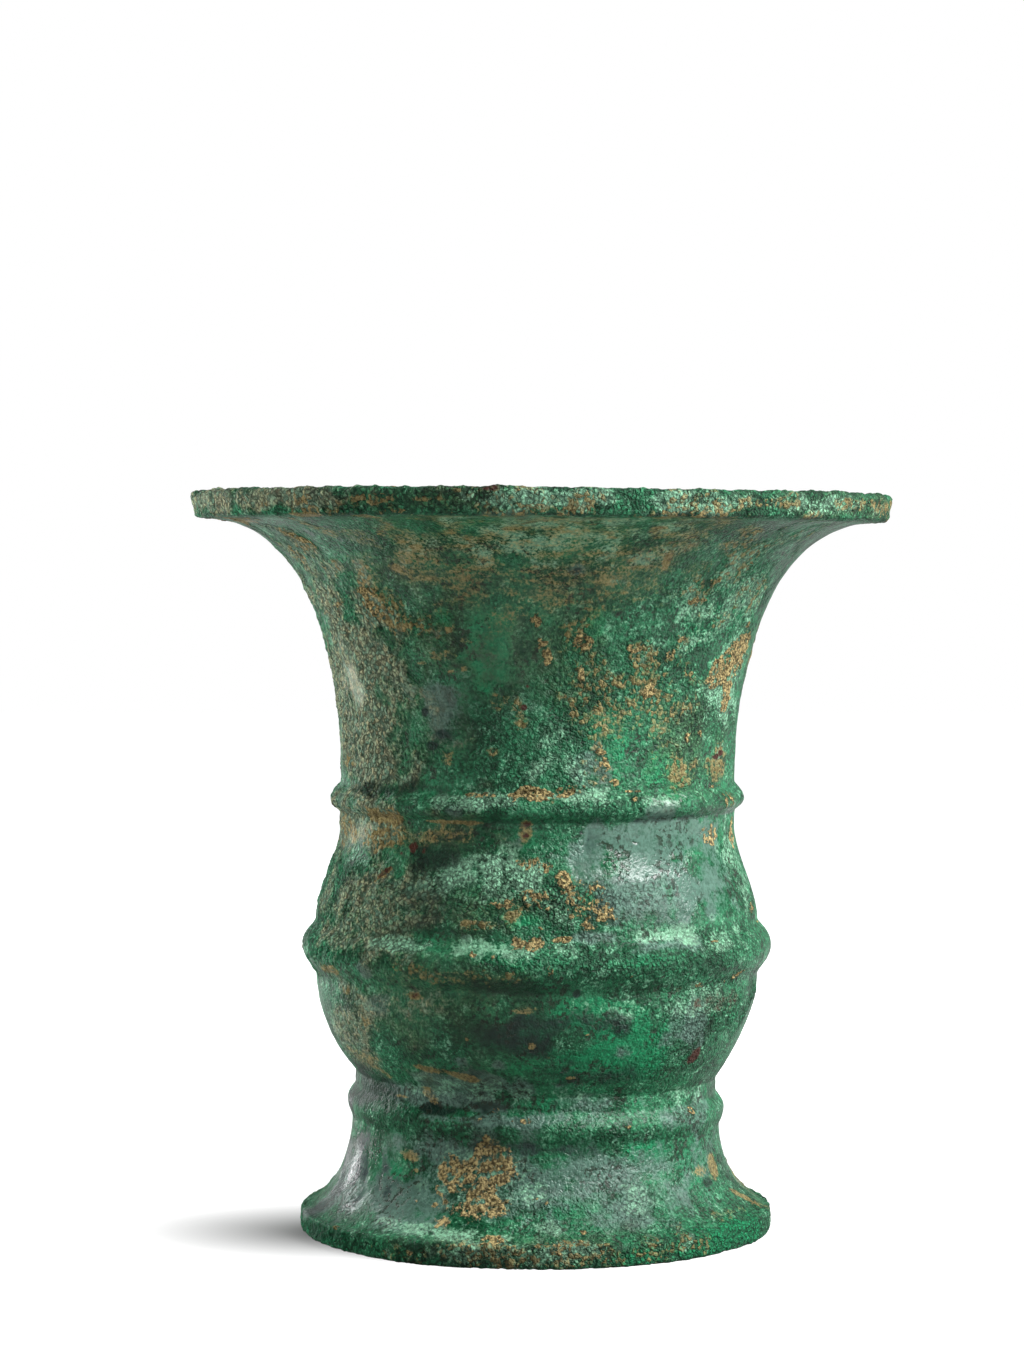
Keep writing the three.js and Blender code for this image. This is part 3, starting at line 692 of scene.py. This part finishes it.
def fill_mesh(name, points, faces):
    """Smooth mesh object from its points in mm and a list of arrays of faces."""
    mesh = bpy.data.meshes.new(name)
    sizes = np.concatenate([np.full(len(part), part.shape[1]) for part in faces])
    mesh.vertices.add(points.shape[1])
    mesh.vertices.foreach_set("co", (points.T * MM).astype(np.float32).ravel())
    mesh.loops.add(int(sizes.sum()))
    corners = np.concatenate([part.ravel() for part in faces])
    mesh.loops.foreach_set("vertex_index", corners.astype(np.int32))
    mesh.polygons.add(len(sizes))
    mesh.polygons.foreach_set("loop_start", (np.cumsum(sizes) - sizes).astype(np.int32))
    mesh.polygons.foreach_set("use_smooth", np.ones(len(sizes), bool))
    mesh.update(calc_edges=True)
    piece = bpy.data.objects.new(name, mesh)
    bpy.context.scene.collection.objects.link(piece)
    return piece


def lap_free(rows):
    """1 on open inner faces, falling to 0 on the laps, which stay clean where the castings meet."""
    radius, height = rows.T
    apart = np.minimum(*(np.abs(height - seam - LAP / 2) for seam in (UPPER_SEAM, LOWER_SEAM)))
    off_lap = fade(*(LAP / 2 + margin for margin in LAP_MARGIN), apart)
    on_floor = fade(*(WAIST_RADIUS - margin for margin in FLOOR_MARGIN), radius)
    return np.maximum(off_lap, on_floor)


def outdoors(rows):
    """1 on the outer face, falling to 0 just past the highest row, where the inside begins."""
    past = np.arange(len(rows)) - np.argmax(rows[:, 1])
    return fade(INDOOR_ROWS, 0, past)


def casting(name, outer, *inner):
    """Weathered casting turned from its outer outline and from the inner ones that close it."""
    rows = resample(outer, FINE)
    stretches = [(rows, facing(rows), np.full(len(rows), SEGMENTS), outdoors(rows), np.ones(len(rows)))]
    for outline in inner:
        rows = resample(outline, COARSE)
        counts = np.array([ring_count(radius) for radius in rows[:, 0]])
        stretch = (rows, facing(rows), counts, np.zeros(len(rows)), lap_free(rows))
        first = 0 if counts[0] == 1 else 1
        stop = len(rows) - 1 if outline is inner[-1] else len(rows)
        stretches.append([part[first:stop] for part in stretch])
    rows, normals, counts, outside, worn = (np.concatenate(parts) for parts in zip(*stretches))

    row = np.repeat(np.arange(len(rows)), counts)
    first = np.cumsum(counts) - counts
    angle = math.pi + math.tau * (np.arange(len(row)) - first[row]) / counts[row]
    around = np.stack([np.sin(angle), -np.cos(angle), np.ones(len(row))])
    points = (rows[row].T[[0, 0, 1]] * around).astype(np.float32)
    found = survey(points, outside[row].astype(np.float32))
    relief = found.pop("relief") * worn[row]
    points = settle(points + relief * normals[row].T[[0, 0, 1]] * around)
    points[2] = np.maximum(points[2], 0)

    length = lengths(rows)
    along = length / (length[-1] + COARSE)
    rings = [Ring(*values) for values in zip(first, counts, along)]
    rings.append(rings[0]._replace(along=1))
    pairs = [(low, high) for low, high in zip(rings, rings[1:]) if (low.count, high.count) != (1, 1)]
    bands = [part for low, high in pairs for part in band(low, high)]
    piece = fill_mesh(name, points, [faces for faces, flat in bands])
    mesh = piece.data
    flat = np.concatenate([flat.reshape(-1, 2) for faces, flat in bands])
    mesh.uv_layers.new(name="OFBake").data.foreach_set("uv", flat.astype(np.float32).ravel())
    for kind, values in found.items():
        mesh.attributes.new(kind, "FLOAT", "POINT").data.foreach_set("value", values.astype(np.float32))

    heading = np.arctan2(*np.diff(rows, axis=0, append=rows[:1]).T)
    bend = np.abs((heading - np.roll(heading, 1) + math.pi) % math.tau - math.pi)
    ends = np.empty(2 * len(mesh.edges), np.int32)
    mesh.edges.foreach_get("vertices", ends)
    low, high = row[ends.reshape(-1, 2)].T
    mesh.edges.foreach_set("use_edge_sharp", (low == high) & (bend[low] > SHARP))
    return piece


class Recipe:
    """The nodes of a material or a world, so that its layers read as a chain of calls."""

    def __init__(self, owner, surface="Principled BSDF"):
        owner.use_nodes = True
        self.owner = owner
        self.tree = owner.node_tree
        self.surface = self.tree.nodes[surface]
        self.coordinates = self.node("ShaderNodeTexCoord").outputs
        self.place = self.coordinates["Object"]

    def node(self, kind, inputs=None, **settings):
        """New node, with its settings, and with its named inputs set to a value or linked to an output."""
        node = self.tree.nodes.new(kind)
        for name, value in settings.items():
            setattr(node, name, value)
        for name, value in (inputs or {}).items():
            self.put(node.inputs[name], value)
        return node

    def put(self, socket, value):
        """Links an output to a socket, or sets the socket to a value."""
        if isinstance(value, bpy.types.NodeSocket):
            self.tree.links.new(value, socket)
        else:
            socket.default_value = value

    def dress(self, inputs):
        """The material or world, once its surface's named inputs are set or linked."""
        for name, value in inputs.items():
            self.put(self.surface.inputs[name], value)
        return self.owner

    def vector(self, operation, *inputs):
        """Node that works on vectors, with its inputs in order."""
        return self.node("ShaderNodeVectorMath", dict(enumerate(inputs)), operation=operation)

    def mask(self, kind):
        """How much of a kind of corrosion lies at each point."""
        return self.node("ShaderNodeAttribute", attribute_name=kind).outputs["Fac"]

    def texture(self, size, detail=3, roughness=0.5, distortion=0, stretch=1):
        """Noise with features `size` mm across, stretched that many times round the vessel."""
        place = self.vector("MULTIPLY", self.place, (1 / stretch, 1 / stretch, 1)).outputs[0]
        inputs = {"Vector": place, "Scale": 1 / (size * MM), "Detail": detail, "Roughness": roughness}
        return self.node("ShaderNodeTexNoise", {**inputs, "Distortion": distortion}).outputs[0]

    def crumbs(self, size, distortion):
        """Packed crumbs `size` mm apart: their height from 0 to 1, and a number for each of them."""
        shift = self.node("ShaderNodeTexNoise", {"Vector": self.place, "Scale": 0.8 / (size * MM)})
        bent = self.vector("MULTIPLY_ADD", shift.outputs["Color"], (distortion * MM,) * 3, self.place)
        cell = {"Vector": bent.outputs[0], "Scale": 1 / (size * MM)}
        edge = self.node("ShaderNodeTexVoronoi", cell, feature="DISTANCE_TO_EDGE").outputs["Distance"]
        mark = self.node("ShaderNodeTexVoronoi", cell).outputs["Color"]
        number = self.node("ShaderNodeSeparateColor", {0: mark}).outputs[0]
        tall = self.sum(0.4, number, 0.6)
        return self.times(self.between(edge, 0.0, 0.3), tall), number

    def sum(self, value, other, times=1.0):
        """A value plus a number of times the other."""
        inputs = {0: other, 1: times, 2: value}
        return self.node("ShaderNodeMath", inputs, operation="MULTIPLY_ADD").outputs[0]

    def times(self, value, other):
        """A value times the other."""
        return self.node("ShaderNodeMath", {0: value, 1: other}, operation="MULTIPLY").outputs[0]

    def between(self, value, low, high):
        """0 at low, 1 at high, and a smooth change between them."""
        inputs = {"Value": value, "From Min": low, "From Max": high}
        return self.node("ShaderNodeMapRange", inputs, interpolation_type="SMOOTHSTEP").outputs[0]

    def cover(self, kind, texture, spread, soft):
        """How far a layer hides what is below it: its mask, broken up by a noise texture."""
        mask = self.mask(kind)
        middle = 0.5 + spread / 2
        broken = self.between(self.sum(mask, texture, spread), middle - soft, middle + soft)
        return self.times(broken, self.between(mask, 0.02, 0.25))

    def ridged(self, texture):
        """Thin ridges along a noise texture's middle level: 1 on a ridge and falling away beside it."""
        folded = self.node("ShaderNodeMath", {0: texture, 1: 0.5}, operation="PINGPONG").outputs[0]
        return self.sum(-2.0, folded, 6.0)

    def scale(self, colour, factor):
        """Colour made lighter or darker."""
        return self.node("ShaderNodeVectorMath", {0: colour, "Scale": factor}, operation="SCALE").outputs[0]

    def mix(self, below, above, amount):
        """Colour below, hidden by the one above as far as the amount says."""
        node = self.node("ShaderNodeMix", data_type="RGBA")
        for index, value in ((0, amount), (6, below), (7, above)):
            self.put(node.inputs[index], value)
        return node.outputs[2]


def paint(red, green, blue):
    """Linear colour of an sRGB one."""
    shares = [value / 255 for value in (red, green, blue)]
    return (*(s / 12.92 if s <= 0.04045 else ((s + 0.055) / 1.055) ** 2.4 for s in shares), 1)


# Colours of the corrosion, from the metal's own malachite outward; the dark, pale and blue ones also paint
# shade and light in places
MALACHITE_DARK = paint(16, 70, 43)
MALACHITE = paint(42, 114, 77)
SPECKS = paint(108, 162, 130)
EMERALD_GREEN = paint(22, 122, 78)
TIN_BLUE = paint(84, 116, 102)
OLIVE_GREEN = paint(86, 94, 60)
SCALE_GREEN = paint(104, 138, 114)
SCALE_GREY = paint(140, 140, 108)
PALE_GREEN = paint(122, 172, 140)
DARK_GREEN = paint(16, 50, 34)
DARK_GREY = paint(32, 48, 48)
FLAKE_BROWN = paint(38, 46, 34)
OCHRE_DARK = paint(110, 93, 54)
OCHRE = paint(158, 141, 90)
EARTH_DARK = paint(82, 72, 45)
EARTH = paint(194, 174, 120)
CUPRITE = paint(68, 36, 24)

# Colours of the spacers
SPACER_BROWN = paint(84, 66, 42)
SPACER_GREEN = paint(70, 118, 92)
SPACER_DARK = paint(40, 48, 38)

SPECULAR = 0.35
BUMP_DEPTH = 1.0
SPACER_BUMP_DEPTH = 0.3
SPACER_BUMP_STRENGTH = 0.6


def bronze_patina():
    """Green corrosion in layers: malachite, blue-grey tin patina, pale crust, stains, earth and cuprite,
    with painted shade and light in places.
    """
    recipe = Recipe(bpy.data.materials.new("patina"))
    between, cover, mix, plus, times = recipe.between, recipe.cover, recipe.mix, recipe.sum, recipe.times
    broad = recipe.texture(18, 8, 0.6)
    mottle = recipe.texture(5, 8, 0.65)
    fine = recipe.texture(1.0, 5, 0.65, 0.4)
    smear = recipe.texture(2.2, 6, 0.65, 0, 4)
    grit = recipe.texture(1.7, 2, 0.55, 0.3)
    crumb, own = recipe.crumbs(1.5, 1.2)
    speckle = plus(times(mottle, 0.55), fine, 0.45)
    crust, soil, film = recipe.mask("crust"), recipe.mask("soil"), recipe.mask("film")

    # malachite, and each kind of corrosion over it; the dark, pale and blue kinds also carry painted shade
    # and painted light in places
    colour = mix(MALACHITE_DARK, MALACHITE, between(plus(broad, speckle), 0.82, 1.12))
    specks = times(between(plus(mottle, fine), 1.08, 1.25), plus(1.0, film, -0.6))
    colour = mix(colour, SPECKS, specks)
    colour = mix(colour, EMERALD_GREEN, cover("emerald", speckle, 2.2, 0.25))
    colour = mix(colour, TIN_BLUE, cover("blue", speckle, 2.5, 0.25))
    colour = mix(colour, OLIVE_GREEN, times(recipe.mask("olive"), between(speckle, 0.4, 0.6)))
    scale = mix(SCALE_GREEN, SCALE_GREY, own)
    colour = mix(colour, scale, cover("grey", speckle, 2.5, 0.3))
    colour = mix(colour, PALE_GREEN, cover("pale", speckle, 3.0, 0.25))
    # colour of the dark kind: dark corrosion, and painted shade where its rows lie in the crease and along
    # the lip
    shade = mix(DARK_GREEN, DARK_GREY, film)
    colour = mix(colour, shade, cover("dark", speckle, 2.0, 0.3))
    chips = between(recipe.texture(1.8, 5, 0.6), 0.54, 0.58)
    flaking = between(recipe.texture(14, 3), 0.48, 0.58)
    flakes = times(times(chips, flaking), between(crust, 0.5, 0.1))
    colour = mix(colour, FLAKE_BROWN, times(flakes, 0.8))

    # painted light on the tops of the crust's crumbs and painted shade in the hollows between them, and a
    # ripple of tone elsewhere, which is weaker on film
    height = plus(plus(plus(times(crumb, 0.4), recipe.mask("grain"), 0.3), grit, 0.5), fine, 0.8)
    # crumb tops lighter and hollows darker: painted light and shade of the grains
    light = plus(0.36, between(height, 0.72, 1.2), 1.24)
    ripple = plus(-0.5, between(plus(plus(fine, grit, 0.5), smear, 0.5), 0.8, 1.2))
    calm = plus(1.0, times(ripple, plus(1.0, film, -0.6)))
    colour = recipe.scale(colour, plus(calm, times(crust, plus(light, calm, -1.0))))

    # stains, smeared on bare wall and in grains on crust, then earth and cuprite
    smeared = plus(times(smear, 0.5), fine, 0.5)
    grainy = plus(times(own, 0.4), grit, 0.6)
    ground = plus(smeared, times(crust, plus(grainy, smeared, -1.0)))
    ochre = mix(OCHRE_DARK, OCHRE, between(fine, 0.4, 0.6))
    colour = mix(colour, ochre, times(cover("stain", ground, 2.6, 0.22), 0.85))
    sand = recipe.texture(0.9, 4, 0.6)
    earth = mix(EARTH_DARK, EARTH, between(plus(sand, fine, 0.3), 0.55, 0.77))
    vein = recipe.ridged(recipe.texture(3.0, 4, 0.6, 0.5))
    buried = between(plus(plus(times(soil, 1.3), fine, 1.6), vein, 0.5), 1.85, 2.15)
    buried = times(buried, between(soil, 0.05, 0.3))
    colour = mix(colour, earth, buried)
    colour = mix(colour, CUPRITE, cover("red", speckle, 4.0, 0.3))

    # smooth film, rough crust and rougher earth
    rough = plus(plus(plus(0.3, film, -0.2), crust, 0.4), buried, 0.5)
    deep = times(plus(plus(0.55, crust, 1.0), buried, 0.2), plus(1.0, film, -0.9))
    height = times(plus(plus(times(crumb, 0.4), grit, 1.3), fine, 0.6), deep)
    height = plus(height, times(buried, sand), 0.6)
    bump = {"Strength": 1.0, "Distance": BUMP_DEPTH * MM, "Height": plus(height, flakes, -0.25)}
    return recipe.dress({
        "Base Color": colour,
        "Roughness": plus(rough, fine, 0.16),
        "Specular IOR Level": SPECULAR,
        "Normal": recipe.node("ShaderNodeBump", bump).outputs[0],
    })


def chaplet_bronze():
    """Browner bronze of the spacers, under thin green corrosion."""
    recipe = Recipe(bpy.data.materials.new("spacer_bronze"))
    broad, fine = recipe.texture(5, 5), recipe.texture(0.7, 3)
    greened = recipe.between(recipe.sum(broad, fine, 0.3), 0.45, 0.85)
    colour = recipe.mix(SPACER_BROWN, SPACER_GREEN, greened)
    colour = recipe.mix(colour, SPACER_DARK, recipe.between(fine, 0.45, 0.3))
    bump = {"Strength": SPACER_BUMP_STRENGTH, "Distance": SPACER_BUMP_DEPTH * MM, "Height": fine}
    return recipe.dress({
        "Base Color": colour,
        "Roughness": recipe.sum(0.4, broad, 0.4),
        "Normal": recipe.node("ShaderNodeBump", bump).outputs[0],
    })


def beside(outline, middle, steps):
    """Points of an outline at lengths `steps` from the one nearest to middle, and where it faces there."""
    rows = resample(outline, FINE)
    length = lengths(rows)
    stops = length[np.argmin(np.hypot(*(rows - middle).T))] + steps
    both = np.hstack([rows, facing(rows)])
    spots = np.column_stack([np.interp(stops, length, column) for column in both.T])
    return spots[:, :2], spots[:, 2:]


def chaplet(name, node, inside, outside):
    """Square spacer cast into the wall: a little proud of the inner face, and under the crust outside."""
    low, high = (np.array(corner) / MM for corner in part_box(node))
    x, y, z = (low + high) / 2
    middle = np.array([math.hypot(x, y), z])
    side = CHAPLET_POINTS
    steps = np.linspace(-1, 1, side)
    down, across = (part.ravel() for part in np.meshgrid(steps, steps, indexing="ij"))
    # drawn in at the corners alone, and worn down at the edge alone
    rounding = 1 - CHAPLET_ROUNDING * (across * down) ** 4
    edge = np.maximum(np.abs(across), np.abs(down)) ** 6
    angle = math.atan2(x, -y) + across * rounding * CHAPLET / 2 / middle[0]
    proud = CHAPLET_PROUD - CHAPLET_WEAR * edge
    layers = []
    for outline, ahead, rise in ((inside, 1, proud), (outside, -1, -CHAPLET_COVER)):
        spots, normals = beside(outline, middle, ahead * down * rounding * CHAPLET / 2)
        radius, height = (spots + normals * np.reshape(rise, (-1, 1))).T
        layers.append(np.stack([radius * np.sin(angle), -radius * np.cos(angle), height]))
    number = np.arange(side * side).reshape(side, side)
    corners = (number[:-1, :-1], number[:-1, 1:], number[1:, 1:], number[1:, :-1])
    squares = np.stack(corners, -1).reshape(-1, 4)
    border = np.concatenate([number[0, :-1], number[:-1, -1], number[-1, :0:-1], number[:0:-1, 0]])
    ahead = np.roll(border, -1)
    walls = np.stack([ahead, border, border + side * side, ahead + side * side], 1)
    return fill_mesh(name, settle(np.hstack(layers)), [squares, squares[:, ::-1] + side * side, walls])


def studio_world():
    """White to the camera on every side. Reflections see a grey backdrop behind and a dim room in front."""
    recipe = Recipe(bpy.data.worlds.new("studio"), "Background")
    path = recipe.node("ShaderNodeLightPath").outputs
    axes = recipe.node("ShaderNodeSeparateXYZ", {0: recipe.coordinates["Generated"]}).outputs
    edge = {"Value": axes["Y"], "From Min": BACKDROP_EDGE[0], "From Max": BACKDROP_EDGE[1]}
    room = recipe.node("ShaderNodeMapRange", {**edge, "To Min": DIM_ROOM, "To Max": BACKDROP}).outputs[0]
    level = AMBIENT
    for ray, strength in (("Is Glossy Ray", room), ("Is Transmission Ray", room), ("Is Camera Ray", 1.0)):
        level = recipe.node("ShaderNodeMix", {0: path[ray], 2: level, 3: strength}).outputs[0]
    bpy.context.scene.world = recipe.dress({"Color": (1, 1, 1, 1), "Strength": level})


def white_floor():
    """Floor that is white to the camera, but for the shade beside the foot, away from the key light."""
    bpy.ops.mesh.primitive_plane_add(size=FLOOR_SIZE)
    floor = bpy.context.object
    floor.name = "floor"
    recipe = Recipe(bpy.data.materials.new("floor_white"))
    reach = recipe.vector("LENGTH", recipe.place).outputs["Value"]
    # darker near the vessel: painted shade round the foot, which also sends less light back onto it
    near, far = ((tone, tone, tone, 1) for tone in FLOOR_TONES)
    tone = recipe.mix(near, far, recipe.between(reach, *FLOOR_TONE_REACH))
    apart = recipe.vector("SUBTRACT", recipe.place, SHADE_PLACE).outputs[0]
    apart = recipe.vector("MULTIPLY", apart, SHADE_SHAPE).outputs[0]
    distance = recipe.vector("LENGTH", apart).outputs["Value"]
    path = recipe.node("ShaderNodeLightPath").outputs
    mirrored = recipe.times(path["Is Glossy Ray"], FLOOR_MIRRORED)
    seen = recipe.node("ShaderNodeMath", {0: path["Is Camera Ray"], 1: mirrored}, operation="MAXIMUM")
    shade = {"Value": distance, "From Min": SHADE_REACH[0], "From Max": SHADE_REACH[1]}
    glow = recipe.node("ShaderNodeMapRange", shade)
    floor.data.materials.append(recipe.dress({
        "Base Color": tone,
        "Roughness": 1.0,
        "Specular IOR Level": 0.0,
        "Emission Color": (1, 1, 1, 1),
        "Emission Strength": recipe.times(glow.outputs[0], seen.outputs[0]),
    }))


def area_light(name, angles, distance, size, power):
    """Softbox aimed at the vessel's middle, from degrees round to the camera's right and degrees up."""
    data = bpy.data.lights.new(name, "AREA")
    data.shape = "RECTANGLE"
    data.size, data.size_y = size
    data.energy = power
    lamp = bpy.data.objects.new(name, data)
    turn, rise = (math.radians(angle) for angle in angles)
    aim = Vector((math.sin(turn) * math.cos(rise), -math.cos(turn) * math.cos(rise), math.sin(rise)))
    lamp.location = Vector((0, 0, HEIGHT / 2 * MM)) + aim * distance
    lamp.rotation_euler = aim.to_track_quat("Z", "Y").to_euler()
    lamp.visible_camera = False
    bpy.context.scene.collection.objects.link(lamp)
    return lamp


def photo_camera():
    """Camera of the photograph: a long lens a little below the rim, aimed slightly down."""
    data = bpy.data.cameras.new("camera")
    data.lens = CAMERA_LENS
    data.shift_x = CAMERA_SHIFT
    camera = bpy.data.objects.new("camera", data)
    camera.location = CAMERA_PLACE
    camera.rotation_euler = (math.radians(90 - CAMERA_DIP), 0, 0)
    bpy.context.scene.collection.objects.link(camera)
    bpy.context.scene.camera = camera


def seat(piece, node, material):
    """Dresses a CAD node with a piece and its material."""
    piece.data.materials.append(material)
    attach(piece, "root")
    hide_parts(node)


patina = bronze_patina()
spacer = chaplet_bronze()
neck_outer, neck_inner = neck_outline()
belly_outer, belly_inner, belly_underside = belly_outline()
foot_outer, foot_inner = foot_outline()
seat(casting("neck", neck_outer, neck_inner), "neck_casting", patina)
seat(casting("belly", belly_outer, belly_inner, belly_underside), "belly_casting", patina)
seat(casting("foot", foot_outer, foot_inner), "foot_casting", patina)
walls = {
    "neck": (neck_inner, neck_outer),
    "upper": (belly_inner, belly_outer),
    "lower": (belly_inner, belly_outer),
    "floor": (belly_inner, belly_underside),
    "foot": (foot_inner, foot_outer),
}
for node in sorted(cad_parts):
    if "chaplet" in node:
        piece = chaplet(node.replace("chaplet", "spacer"), node, *walls[node.split("_")[0]])
        seat(piece, node, spacer)

studio_world()
white_floor()
area_light("key", *KEY)
area_light("side", *SIDE).visible_glossy = False
area_light("strip", *STRIP)
photo_camera()
bpy.context.scene.view_settings.view_transform = "Standard"
